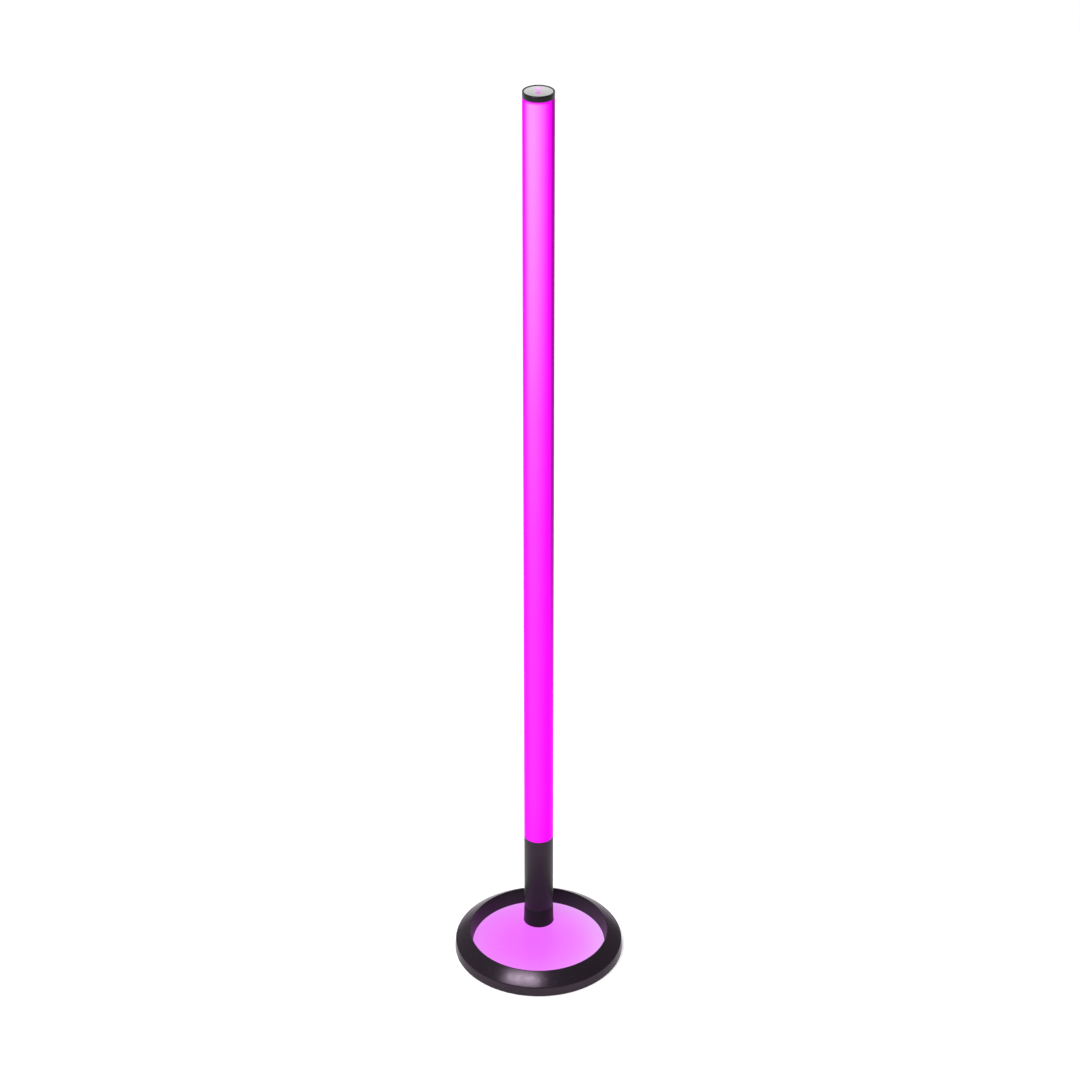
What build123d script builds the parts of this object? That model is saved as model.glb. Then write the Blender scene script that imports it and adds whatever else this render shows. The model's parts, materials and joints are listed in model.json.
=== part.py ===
from build123d import *
import os
from math import asin, cos, degrees, radians, sin

# LED light tube: a lit opal tube that stands up from the back of a round base,
# whose recessed floor is an edge-lit light guide. Millimetres, +Z up, +X to the
# right, +Y to the back. The origin is on the floor, under the centre of the base.

os.makedirs("parts", exist_ok=True)

# Overall sizes
total_height = 1180.0
tube_dia = 38.0
base_dia = 220.0
sleeve_top = 140.0         # height at which the dark sleeve ends

# Fits
slip = 0.1                 # radial, for pieces that plug into each other
loose = 0.3                # radial, for pieces that only pass each other
thread_gap = 0.05          # radial, between a screw and its hole
seam = 0.3                 # shadow line between the collar and the sleeve

# Base ring: outer wall, broad bevel up to the crest, inner wall down to the lip
ring_bottom = 0.6
ring_draft = 1.0
bevel_width = 19.6
crest_height = 27.0
lip_lean = 2.9
lip_gap = 0.1
shell_wall = 2.4
crest_round = 1.5
shoulder_round = 1.0
boss_dia = 6.6
boss_count = 6

# Base stack
foot_height = 1.0
foot_dia = 12.0
foot_inset = 12.0
plate_thickness = 1.6
reflector_thickness = 0.2
guide_thickness = 2.0
guide_tuck = 3.3           # light guide hidden beyond the lip of the ring
edge_led_gap = 0.4
edge_led_glue = 0.05
edge_led_size = (2.8, 1.4, 2.0)
edge_led_count = 36
edge_strip_thickness = 0.3
edge_strip_height = 4.0
ballast_height = 7.4
ballast_end_gap = 1.5      # between an end of the ballast ring and the power board

# Power inlet and its board
film_thickness = 0.2
board_thickness = 1.2
power_board_width = 64.0
board_edge_gap = 1.0       # from the edge LED strip's side to the board
inlet_width = 9.0
inlet_height = 8.0
inlet_headroom = 1.0       # from the top of the inlet to the ring's shoulder
inlet_length = 9.5
inlet_nose_dia = 7.6
inlet_bore_dia = 5.6
inlet_bore_depth = 8.0
inlet_pin_dia = 2.0
inlet_recess = 0.4

# Ribbon from the power board to the socket
ribbon_width = 6.0
ribbon_thickness = 0.25
ribbon_groove = 0.4
ribbon_side = -10.0

# Pole socket (the collar) and the plug of the pole
collar_top = 29.5
collar_flare = 0.8
collar_margin = 16.7       # between the back of the collar and the ring's lip
socket_wall = 3.8
socket_floor = 4.4
plug_foot_gap = 4.0
plug_floor = 4.0
plug_bore_dia = 22.0
plug_upper_bore_dia = 26.0
plug_height = 15.5
key_width = 4.0
key_depth = 1.0
connector_size = (25.0, 10.0, 3.0)
pin_dia = 1.4
pin_pitch = 4.0
pin_count = 5
pin_gap = 0.1

# Screws: shank, head, length
base_screw = (3.0, 5.6, 10.0)
socket_screw = (3.0, 5.6, 5.2)
plug_screw = (2.5, 4.4, 4.4)
board_screw = (1.6, 3.0, 2.8)
socket_screw_circle = 10.0
plug_screw_height = 8.0
plug_screw_angles = (60.0, 120.0)

# Sleeve, coupler and control board
sleeve_wall = 1.6
coupler_band = 1.2
coupler_inset = 0.3
coupler_lip = 10.0
coupler_lip_wall = 1.6
coupler_web = 5.0
control_board_width = 29.0
control_board_height = 74.0
control_slot_depth = 3.0
wire_dia = 1.2
wire_lane = 4.2            # each LED strip's two wires, from the middle of the strip

# Tube and LED core
tube_wall = 1.8
core_width = 20.0
core_depth = 12.0
core_wall = 1.3
core_turn = -15.0          # the core's front face looks a little to the left
core_seat = 2.8
core_gap = 0.15
strip_width = 10.0
strip_thickness = 0.3
strip_end_gap = 1.0
led_size = 5.0
led_height = 1.5
led_pitch = 30.0
cable_width = 6.0
cable_thickness = 0.4
cable_hole_dia = 9.0

# End cap, cap plate and buttons
cap_height = 7.2
cap_round = 0.9
rim_width = 1.9
plate_sink = 0.6
cap_plate_thickness = 1.5
plate_seat = 2.7
shelf_depth = 7.7
shelf_width = 4.4
shelf_thickness = 2.0
skirt_length = 10.5
skirt_wall = 1.5
holder_height = 5.0
power_button_dia = 7.0
mode_button_dia = 6.0
power_button_back = 8.0    # behind the pole axis
mode_button_front = 3.7    # in front of the pole axis
button_rise = 0.45
button_flange = 1.1
button_flange_height = 1.0
button_travel = 0.6
switch_size = (4.5, 4.5, 1.6)
switch_stem_dia = 2.4

# Heights of the base
plate_top = foot_height + plate_thickness
guide_bottom = plate_top + reflector_thickness
guide_top = guide_bottom + guide_thickness
lip_bottom = guide_top + lip_gap
board_top = plate_top + film_thickness + board_thickness
inlet_axis = board_top + inlet_height / 2
shoulder_height = board_top + inlet_height + inlet_headroom

# Radii of the base, from the outside inwards
base_r = base_dia / 2
shoulder_r = base_r - ring_draft
crest_r = shoulder_r - bevel_width
lip_r = crest_r - lip_lean
guide_r = lip_r + shell_wall + guide_tuck
edge_led_r = guide_r + edge_led_gap
edge_strip_r = edge_led_r + edge_led_size[1] + edge_led_glue
ballast_inner_r = edge_strip_r + edge_strip_thickness + slip
ballast_outer_r = shoulder_r - shell_wall - 2 * loose
plate_r = base_r - shell_wall - 2 * loose
boss_circle = (ballast_inner_r + ballast_outer_r) / 2
foot_circle = base_r - foot_inset

board_front = ballast_inner_r + board_edge_gap
ballast_gap_angle = 2 * degrees(asin((power_board_width / 2 + ballast_end_gap) / ballast_inner_r))

# Radii and heights of the pole
tube_r = tube_dia / 2
collar_r = tube_r + collar_flare
pole_setback = lip_r - collar_margin - collar_r
tube_bore_r = tube_r - tube_wall
sleeve_bore_r = tube_r - sleeve_wall
socket_bore_r = tube_r - socket_wall
bore_bottom = plate_top + socket_floor
plug_bottom = bore_bottom + plug_foot_gap
plug_inside = plug_bottom + plug_floor
plug_top = collar_top + plug_height
sleeve_bottom = collar_top + seam
tube_bottom = sleeve_top + coupler_band
cap_bottom = total_height - cap_height
skirt_bottom = cap_bottom - skirt_length
cap_plate_top = total_height - plate_sink
cap_plate_bottom = cap_plate_top - cap_plate_thickness
shelf_top = total_height - shelf_depth
button_board_top = shelf_top + board_thickness
recess_r = tube_r - rim_width
cavity_r = recess_r - plate_seat
skirt_r = tube_bore_r - slip
core_bottom = tube_bottom - core_seat
core_top = skirt_bottom + core_seat
core_flat = core_depth / 2
wire_circle = core_flat + strip_thickness + wire_dia / 2 + thread_gap
control_board_bottom = plug_top - control_slot_depth
control_board_top = control_board_bottom + control_board_height

standing = (Align.CENTER, Align.CENTER, Align.MIN)
wire_lanes = (-wire_lane, wire_lane)
core_faces = {"front": core_turn - 90, "back": core_turn + 90}


def pole_level(height):
    # Horizontal plane centred on the pole axis.
    return Plane(origin=(0, pole_setback, height))


def pole_side(angle, distance):
    # Vertical plane facing outwards from the pole axis, its Y pointing up.
    outward = (cos(radians(angle)), sin(radians(angle)), 0)
    along = (-sin(radians(angle)), cos(radians(angle)), 0)
    centre = (distance * outward[0], pole_setback + distance * outward[1], 0)
    return Plane(origin=centre, x_dir=along, z_dir=outward)


def core_outline(height, grow=0.0):
    # Outer outline of the LED core, or with grow the seat that holds it.
    with BuildSketch(pole_level(height)) as outline:
        Rectangle(core_width + 2 * grow, core_depth + 2 * grow, rotation=core_turn)
    return outline.sketch


def wire_foot(angle, lane):
    # Where a wire meets its LED strip, from the pole axis.
    along = (-sin(radians(angle)), cos(radians(angle)))
    outward = (cos(radians(angle)), sin(radians(angle)))
    return (wire_circle * outward[0] + lane * along[0], wire_circle * outward[1] + lane * along[1])


def flat_head(sizes, grow=0.0, mode=Mode.ADD):
    # A countersunk screw, or with grow its hole: the head's face is at the local
    # origin and the shank points along local +Z.
    shank, head, length = sizes
    head_height = (head - shank) / 2
    Cone(head / 2 + grow, shank / 2 + grow, head_height, align=standing, mode=mode)
    Cylinder(shank / 2 + grow, length + grow, align=standing, mode=mode)


def blocks(level, places, sizes):
    # Rectangular components standing on a plane, one for each place.
    for place, (width, depth, height) in zip(places, sizes):
        with BuildSketch(level) as footprint:
            with Locations(place):
                Rectangle(width, depth)
        extrude(footprint.sketch, amount=height)


def power_board_outline(level):
    # Straight front edge, rounded back that follows the ring, square ends.
    with BuildSketch(level) as outline:
        Circle(ballast_outer_r)
        with Locations((0, board_front)):
            Rectangle(power_board_width, base_r, align=(Align.CENTER, Align.MIN), mode=Mode.INTERSECT)
    return outline.sketch


# Base body

with BuildPart() as rubber_feet:
    with BuildSketch():
        with PolarLocations(foot_circle, boss_count, start_angle=180 / boss_count):
            Circle(foot_dia / 2)
    extrude(amount=foot_height)
    chamfer(rubber_feet.faces().sort_by(Axis.Z)[0:boss_count].edges(), foot_height / 4)
rubber_feet.part.label = "rubber_feet"
export_step(rubber_feet.part, "parts/rubber_feet.step")

with BuildPart() as base_plate:
    with BuildSketch(Plane.XY.offset(foot_height)):
        Circle(plate_r)
    extrude(amount=plate_thickness)
    with BuildSketch(Plane.XY.offset(plate_top - ribbon_groove)):
        with Locations((ribbon_side, pole_setback - ribbon_width / 2)):
            Rectangle(
                ribbon_width + 2 * loose,
                board_front - pole_setback + ribbon_width,
                align=(Align.CENTER, Align.MIN),
            )
    extrude(amount=ribbon_groove, mode=Mode.SUBTRACT)
    with Locations((0, 0, foot_height)):
        with PolarLocations(boss_circle, boss_count):
            flat_head(base_screw, thread_gap, Mode.SUBTRACT)
    with Locations((0, pole_setback, foot_height)):
        with PolarLocations(socket_screw_circle, 3, start_angle=90):
            flat_head(socket_screw, thread_gap, Mode.SUBTRACT)
base_plate.part.label = "base_plate"
export_step(base_plate.part, "parts/base_plate.step")

with BuildPart() as base_screws:
    with Locations((0, 0, foot_height)):
        with PolarLocations(boss_circle, boss_count):
            flat_head(base_screw)
base_screws.part.label = "base_screws"
export_step(base_screws.part, "parts/base_screws.step")

with BuildPart() as ballast_ring:
    with BuildSketch(Plane.XY.offset(plate_top)):
        with BuildLine():
            CenterArc((0, 0), ballast_outer_r, 90 + ballast_gap_angle / 2, 360 - ballast_gap_angle)
            CenterArc((0, 0), ballast_inner_r, 90 + ballast_gap_angle / 2, 360 - ballast_gap_angle)
            for side in (-1, 1):
                angle = 90 + side * ballast_gap_angle / 2
                PolarLine(
                    (ballast_inner_r * cos(radians(angle)), ballast_inner_r * sin(radians(angle))),
                    ballast_outer_r - ballast_inner_r,
                    angle,
                )
        make_face()
        with PolarLocations(boss_circle, boss_count):
            Circle(boss_dia / 2 + loose, mode=Mode.SUBTRACT)
    extrude(amount=ballast_height)
ballast_ring.part.label = "ballast_ring"
export_step(ballast_ring.part, "parts/ballast_ring.step")

# Space under the middle of the bevel's wall, which trims the tops of the bosses
with BuildPart() as under_bevel:
    with BuildSketch(Plane.XZ):
        with BuildLine():
            Polyline(
                (crest_r, plate_top),
                (crest_r, crest_height - shell_wall / 2),
                (shoulder_r - shell_wall / 2, shoulder_height - shell_wall / 2),
                (shoulder_r - shell_wall / 2, plate_top),
                close=True,
            )
        make_face()
    revolve(axis=Axis.Z)

with BuildPart() as ring_bosses:
    with BuildSketch(Plane.XY.offset(plate_top)):
        with PolarLocations(boss_circle, boss_count):
            Circle(boss_dia / 2)
    extrude(amount=crest_height - plate_top)
    add(under_bevel.part, mode=Mode.INTERSECT)

with BuildPart() as base_ring:
    with BuildSketch(Plane.XZ):
        with BuildLine():
            Polyline(
                (base_r + ring_draft, ring_bottom + ring_bottom - shoulder_height),
                (shoulder_r, shoulder_height),
                (crest_r, crest_height),
                (lip_r - lip_lean, lip_bottom + lip_bottom - crest_height),
            )
            offset(amount=shell_wall, side=Side.LEFT, kind=Kind.INTERSECTION)
        make_face()
        with Locations((base_r, ring_bottom)):
            Rectangle(4 * shell_wall, base_r, align=(Align.CENTER, Align.MAX), mode=Mode.SUBTRACT)
        with Locations((lip_r, lip_bottom)):
            Rectangle(6 * shell_wall, base_r, align=(Align.CENTER, Align.MAX), mode=Mode.SUBTRACT)
    revolve(axis=Axis.Z)
    crest_edges = base_ring.edges().filter_by(GeomType.CIRCLE).filter_by(
        lambda edge: abs(edge.radius - crest_r) < lip_gap and abs(edge.center().Z - crest_height) < lip_gap
    )
    fillet(crest_edges, crest_round)
    shoulder_edges = base_ring.edges().filter_by(GeomType.CIRCLE).filter_by(
        lambda edge: abs(edge.radius - shoulder_r) < lip_gap
        and abs(edge.center().Z - shoulder_height) < lip_gap
    )
    fillet(shoulder_edges, shoulder_round)
    add(ring_bosses.part)
    with Locations((0, 0, foot_height)):
        with PolarLocations(boss_circle, boss_count):
            Cylinder(
                base_screw[0] / 2 + thread_gap,
                base_screw[2] + 2 * slip,
                align=standing,
                mode=Mode.SUBTRACT,
            )
    with BuildSketch(Plane.back.offset(ballast_outer_r - shell_wall)):
        with Locations((0, inlet_axis)):
            Circle(inlet_nose_dia / 2 + slip)
    extrude(amount=4 * shell_wall, mode=Mode.SUBTRACT)
base_ring.part.label = "base_ring"
export_step(base_ring.part, "parts/base_ring.step")

with BuildPart() as reflector_sheet:
    with BuildSketch(Plane.XY.offset(plate_top)):
        Circle(guide_r)
        with Locations((0, pole_setback)):
            Circle(collar_r + loose, mode=Mode.SUBTRACT)
    extrude(amount=reflector_thickness)
reflector_sheet.part.label = "reflector_sheet"
export_step(reflector_sheet.part, "parts/reflector_sheet.step")

with BuildPart() as light_guide:
    with BuildSketch(Plane.XY.offset(guide_bottom)):
        Circle(guide_r)
        with Locations((0, pole_setback)):
            Circle(collar_r + loose, mode=Mode.SUBTRACT)
    extrude(amount=guide_thickness)
light_guide.part.label = "light_guide"
export_step(light_guide.part, "parts/light_guide.step")

with BuildPart() as edge_led_strip:
    with BuildSketch(Plane.XY.offset(guide_bottom)):
        Circle(edge_strip_r + edge_strip_thickness)
        Circle(edge_strip_r, mode=Mode.SUBTRACT)
    extrude(amount=edge_strip_height)
edge_led_strip.part.label = "edge_led_strip"
export_step(edge_led_strip.part, "parts/edge_led_strip.step")

with BuildPart() as edge_leds:
    with BuildSketch(Plane.XY.offset(guide_bottom)):
        with PolarLocations(edge_strip_r - edge_led_glue, edge_led_count):
            Rectangle(edge_led_size[1], edge_led_size[0], align=(Align.MAX, Align.CENTER))
    extrude(amount=edge_led_size[2])
edge_leds.part.label = "edge_leds"
export_step(edge_leds.part, "parts/edge_leds.step")

with BuildPart() as board_film:
    extrude(power_board_outline(Plane.XY.offset(plate_top)), amount=film_thickness)
board_film.part.label = "board_film"
export_step(board_film.part, "parts/board_film.step")

with BuildPart() as power_board:
    extrude(power_board_outline(Plane.XY.offset(plate_top + film_thickness)), amount=board_thickness)
power_board.part.label = "power_board"
export_step(power_board.part, "parts/power_board.step")

power_chip_places = [(13.0, 3.6), (20.5, 3.2), (26.5, 2.2), (-19.0, 3.4), (-25.0, 2.4)]
power_chip_sizes = [(6.0, 6.0, 3.0), (4.0, 4.0, 1.0), (3.0, 1.6, 0.8), (5.0, 5.0, 4.5), (3.0, 2.5, 1.2)]
with BuildPart() as power_chips:
    blocks(Plane(origin=(0, board_front, board_top)), power_chip_places, power_chip_sizes)
power_chips.part.label = "power_chips"
export_step(power_chips.part, "parts/power_chips.step")

inlet_face = base_r - ring_draft * inlet_axis / shoulder_height - inlet_recess
inlet_back = ballast_outer_r - 2 * slip
with BuildPart() as dc_inlet:
    with BuildSketch(Plane.back.offset(inlet_back - inlet_length)):
        with Locations((0, inlet_axis)):
            Rectangle(inlet_width, inlet_height)
    extrude(amount=inlet_length)
    with BuildSketch(Plane.back.offset(inlet_back)):
        with Locations((0, inlet_axis)):
            Circle(inlet_nose_dia / 2)
    extrude(amount=inlet_face - inlet_back)
    with BuildSketch(Plane.back.offset(inlet_face - inlet_bore_depth)):
        with Locations((0, inlet_axis)):
            Circle(inlet_bore_dia / 2)
            Circle(inlet_pin_dia / 2, mode=Mode.SUBTRACT)
    extrude(amount=inlet_bore_depth, mode=Mode.SUBTRACT)
dc_inlet.part.label = "dc_inlet"
export_step(dc_inlet.part, "parts/dc_inlet.step")

# The ribbon lies in the groove of the base plate: up onto the power board at its
# back end, up into the base connector at its front end.
ribbon_run = plate_top - ribbon_groove + ribbon_thickness
riser_back = board_front - slip
with BuildPart() as base_ribbon:
    with BuildSketch(Plane.YZ.offset(ribbon_side)):
        with BuildLine():
            Polyline(
                (riser_back + ribbon_width / 2, board_top + ribbon_thickness),
                (riser_back - ribbon_thickness, board_top + ribbon_thickness),
                (riser_back - ribbon_thickness, ribbon_run),
                (pole_setback + ribbon_thickness, ribbon_run),
                (pole_setback + ribbon_thickness, bore_bottom),
                (pole_setback, bore_bottom),
                (pole_setback, ribbon_run - ribbon_thickness),
                (riser_back, ribbon_run - ribbon_thickness),
                (riser_back, board_top),
                (riser_back + ribbon_width / 2, board_top),
                close=True,
            )
        make_face()
    extrude(amount=ribbon_width / 2, both=True)
base_ribbon.part.label = "base_ribbon"
export_step(base_ribbon.part, "parts/base_ribbon.step")

with BuildPart() as pole_socket:
    with BuildSketch(pole_level(plate_top)):
        Circle(collar_r)
    with BuildSketch(pole_level(collar_top)):
        Circle(tube_r)
    loft()
    fillet(pole_socket.edges().sort_by(Axis.Z)[-1], 2 * slip)
    with BuildSketch(pole_level(bore_bottom)):
        Circle(socket_bore_r)
        with Locations((0, -socket_bore_r)):
            Rectangle(key_width + 2 * slip, 2 * (key_depth + slip))
    extrude(amount=collar_top - bore_bottom, mode=Mode.SUBTRACT)
    with BuildSketch(pole_level(plate_top)):
        with Locations((ribbon_side, ribbon_thickness / 2)):
            Rectangle(ribbon_width + 2 * loose, ribbon_thickness + 2 * loose)
    extrude(amount=socket_floor, mode=Mode.SUBTRACT)
    with Locations((0, pole_setback, foot_height)):
        with PolarLocations(socket_screw_circle, 3, start_angle=90):
            Cylinder(
                socket_screw[0] / 2 + thread_gap,
                socket_screw[2] + 2 * slip,
                align=standing,
                mode=Mode.SUBTRACT,
            )
pole_socket.part.label = "pole_socket"
export_step(pole_socket.part, "parts/pole_socket.step")

with BuildPart() as socket_screws:
    with Locations((0, pole_setback, foot_height)):
        with PolarLocations(socket_screw_circle, 3, start_angle=90):
            flat_head(socket_screw)
socket_screws.part.label = "socket_screws"
export_step(socket_screws.part, "parts/socket_screws.step")

with BuildPart() as base_connector:
    with BuildSketch(pole_level(bore_bottom)):
        Rectangle(connector_size[0], connector_size[1])
    extrude(amount=connector_size[2])
    with BuildSketch(pole_level(bore_bottom + connector_size[2])):
        with GridLocations(pin_pitch, 0, pin_count, 1):
            Circle(pin_dia / 2)
    extrude(amount=plug_foot_gap + plug_floor - 2 * connector_size[2] - pin_gap)
base_connector.part.label = "base_connector"
export_step(base_connector.part, "parts/base_connector.step")

# Pole body

with BuildPart() as sleeve_plug:
    with BuildSketch(pole_level(plug_bottom)):
        Circle(socket_bore_r - slip)
        with Locations((0, -socket_bore_r)):
            Rectangle(key_width, 2 * key_depth)
    extrude(amount=collar_top - plug_bottom)
    chamfer(sleeve_plug.faces().sort_by(Axis.Z)[0].edges(), 2 * slip)
    with BuildSketch(pole_level(collar_top)):
        Circle(sleeve_bore_r - slip)
    extrude(amount=plug_height)
    with BuildSketch(pole_level(plug_inside)):
        Circle(plug_bore_dia / 2)
    extrude(amount=plug_top - plug_inside, mode=Mode.SUBTRACT)
    with BuildSketch(pole_level(collar_top + (plug_upper_bore_dia - plug_bore_dia) / 2)):
        Circle(plug_upper_bore_dia / 2)
    extrude(amount=plug_height, mode=Mode.SUBTRACT)
    with BuildSketch(pole_level(plug_bottom)):
        Rectangle(connector_size[0] + 2 * slip, connector_size[1] + 2 * slip)
    extrude(amount=plug_floor, mode=Mode.SUBTRACT)
    with BuildSketch(pole_level(control_board_bottom)):
        Rectangle(control_board_width + 2 * slip, board_thickness + 2 * slip)
    extrude(amount=control_slot_depth, mode=Mode.SUBTRACT)
    for angle in plug_screw_angles:
        with Locations(pole_side(angle, 0)):
            with Locations((0, collar_top + plug_screw_height, 0)):
                Cylinder(plug_screw[0] / 2 + thread_gap, tube_r, align=standing, mode=Mode.SUBTRACT)
sleeve_plug.part.label = "sleeve_plug"
export_step(sleeve_plug.part, "parts/sleeve_plug.step")

with BuildPart() as pole_connector:
    with BuildSketch(pole_level(plug_inside - connector_size[2])):
        Rectangle(connector_size[0], connector_size[1])
    extrude(amount=connector_size[2])
pole_connector.part.label = "pole_connector"
export_step(pole_connector.part, "parts/pole_connector.step")

plug_screw_seat = tube_r - 2 * slip
with BuildPart() as sleeve:
    with BuildSketch(pole_level(sleeve_bottom)):
        Circle(tube_r)
        Circle(sleeve_bore_r, mode=Mode.SUBTRACT)
    extrude(amount=sleeve_top - sleeve_bottom)
    rims = sleeve.edges().filter_by(GeomType.CIRCLE).filter_by(lambda edge: edge.radius > sleeve_bore_r + slip)
    chamfer(rims, 2 * slip)
    for angle in plug_screw_angles:
        with Locations(pole_side(angle, plug_screw_seat)):
            with Locations(Location((0, collar_top + plug_screw_height, 0), (180, 0, 0))):
                flat_head(plug_screw, thread_gap, Mode.SUBTRACT)
                Cylinder(plug_screw[1] / 2 + thread_gap, sleeve_wall,
                         align=(Align.CENTER, Align.CENTER, Align.MAX), mode=Mode.SUBTRACT)
sleeve.part.label = "sleeve"
export_step(sleeve.part, "parts/sleeve.step")

with BuildPart() as plug_screws:
    for angle in plug_screw_angles:
        with Locations(pole_side(angle, plug_screw_seat)):
            with Locations(Location((0, collar_top + plug_screw_height, 0), (180, 0, 0))):
                flat_head(plug_screw)
plug_screws.part.label = "plug_screws"
export_step(plug_screws.part, "parts/plug_screws.step")

with BuildPart() as control_board:
    with BuildSketch(pole_level(control_board_bottom)):
        Rectangle(control_board_width, board_thickness)
    extrude(amount=control_board_height)
control_board.part.label = "control_board"
export_step(control_board.part, "parts/control_board.step")

# Components on the front of the control board: a connector at each end, then the
# controller, the memory, three drivers and the smoothing capacitors. Places are
# measured from the pole axis and from the board's lower edge.
chip_face = Plane(
    origin=(0, pole_setback - board_thickness / 2, control_board_bottom),
    x_dir=(1, 0, 0),
    z_dir=(0, -1, 0),
)
connector_block = (12.0, 6.0, 4.2)
connector_inset = 7.0
chip_places = [(0, connector_inset), (0, control_board_height - connector_inset),
               (0, 24), (-8, 34), (-8, 46), (0, 46), (8, 46), (9, 34), (8, 57), (-8, 57)]
chip_sizes = [connector_block, connector_block,
              (9, 9, 1.0), (5, 4, 1.2), (5, 6, 1.6), (5, 6, 1.6), (5, 6, 1.6), (4, 4, 1.8),
              (6, 6, 5.5), (6, 6, 5.5)]
with BuildPart() as board_chips:
    blocks(chip_face, chip_places, chip_sizes)
board_chips.part.label = "board_chips"
export_step(board_chips.part, "parts/board_chips.step")

wire_line = -board_thickness / 2 - connector_block[2] / 2
lower_wire_top = control_board_bottom + connector_inset - connector_block[1] / 2
with BuildPart() as harness_lower:
    with BuildSketch(pole_level(plug_inside)):
        with Locations((0, wire_line)):
            with GridLocations(2 * wire_dia, 0, 5, 1):
                Circle(wire_dia / 2)
    extrude(amount=lower_wire_top - plug_inside)
harness_lower.part.label = "harness_lower"
export_step(harness_lower.part, "parts/harness_lower.step")

with BuildPart() as lower_coupler:
    with BuildSketch(pole_level(sleeve_top - coupler_lip)):
        Circle(sleeve_bore_r - slip)
    extrude(amount=coupler_lip)
    with BuildSketch(pole_level(sleeve_top)):
        Circle(tube_r - coupler_inset)
    extrude(amount=coupler_band)
    with BuildSketch(pole_level(tube_bottom)):
        Circle(skirt_r)
    extrude(amount=coupler_lip)
    with BuildSketch(pole_level(tube_bottom)):
        Circle(skirt_r - coupler_lip_wall)
    extrude(amount=coupler_lip, mode=Mode.SUBTRACT)
    with BuildSketch(pole_level(sleeve_top - coupler_lip)):
        Circle(skirt_r - coupler_lip_wall)
    extrude(amount=coupler_lip + coupler_band - coupler_web, mode=Mode.SUBTRACT)
    extrude(core_outline(core_bottom, core_gap), amount=core_seat, mode=Mode.SUBTRACT)
    with BuildSketch(pole_level(tube_bottom - coupler_web)):
        Circle(cable_hole_dia / 2)
        for angle in core_faces.values():
            for lane in wire_lanes:
                with Locations(wire_foot(angle, lane)):
                    Circle(wire_dia / 2 + loose)
    extrude(amount=coupler_web, mode=Mode.SUBTRACT)
lower_coupler.part.label = "lower_coupler"
export_step(lower_coupler.part, "parts/lower_coupler.step")

# Two wires to the foot of each LED strip, each through its own hole in the coupler.
# The front pair leaves the connector inside the back pair.
upper_wire_bottom = control_board_top - connector_inset + connector_block[1] / 2
bend_start = control_board_top + coupler_band
bend_end = sleeve_top - coupler_lip
wire_starts = {"front": wire_dia, "back": wire_lane + slip}
with BuildPart() as harness_upper:
    for face, angle in core_faces.items():
        for lane in wire_lanes:
            foot_x, foot_y = wire_foot(angle, lane)
            start_x = wire_starts[face] if foot_x > 0 else -wire_starts[face]
            start = (start_x, pole_setback + wire_line)
            with BuildLine() as route:
                FilletPolyline(
                    (*start, upper_wire_bottom),
                    (*start, bend_start),
                    (foot_x, pole_setback + foot_y, bend_end),
                    (foot_x, pole_setback + foot_y, tube_bottom + coupler_lip / 2),
                    radius=3 * wire_dia,
                )
            with BuildSketch(Plane(origin=(*start, upper_wire_bottom))):
                Circle(wire_dia / 2)
            sweep(path=route.line)
harness_upper.part.label = "harness_upper"
export_step(harness_upper.part, "parts/harness_upper.step")

with BuildPart() as diffuser_tube:
    with BuildSketch(pole_level(tube_bottom)):
        Circle(tube_r)
        Circle(tube_bore_r, mode=Mode.SUBTRACT)
    extrude(amount=cap_bottom - tube_bottom)
diffuser_tube.part.label = "diffuser_tube"
export_step(diffuser_tube.part, "parts/diffuser_tube.step")

with BuildPart() as led_core:
    extrude(core_outline(core_bottom), amount=core_top - core_bottom)
    extrude(core_outline(core_bottom, -core_wall), amount=core_top - core_bottom, mode=Mode.SUBTRACT)
led_core.part.label = "led_core"
export_step(led_core.part, "parts/led_core.step")

strip_bottom = tube_bottom + strip_end_gap
strip_length = core_top - core_seat - strip_end_gap - strip_bottom
led_count = int(strip_length // led_pitch)
for side, angle in core_faces.items():
    with BuildPart() as led_strip:
        with BuildSketch(pole_side(angle, core_flat)):
            with Locations((0, strip_bottom)):
                Rectangle(strip_width, strip_length, align=(Align.CENTER, Align.MIN))
        extrude(amount=strip_thickness)
    led_strip.part.label = f"led_strip_{side}"
    export_step(led_strip.part, f"parts/led_strip_{side}.step")

    with BuildPart() as strip_leds:
        with BuildSketch(pole_side(angle, core_flat + strip_thickness)):
            with Locations((0, strip_bottom + strip_length / 2)):
                with GridLocations(0, led_pitch, 1, led_count):
                    Rectangle(led_size, led_size)
        extrude(amount=led_height)
    strip_leds.part.label = f"strip_leds_{side}"
    export_step(strip_leds.part, f"parts/strip_leds_{side}.step")

with BuildPart() as top_holder:
    with BuildSketch(pole_level(skirt_bottom)):
        Circle(skirt_r - skirt_wall - slip)
    extrude(amount=holder_height)
    extrude(core_outline(skirt_bottom, core_gap), amount=core_seat, mode=Mode.SUBTRACT)
    with BuildSketch(pole_level(skirt_bottom)):
        Circle(cable_hole_dia / 2)
    extrude(amount=holder_height, mode=Mode.SUBTRACT)
top_holder.part.label = "top_holder"
export_step(top_holder.part, "parts/top_holder.step")

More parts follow.
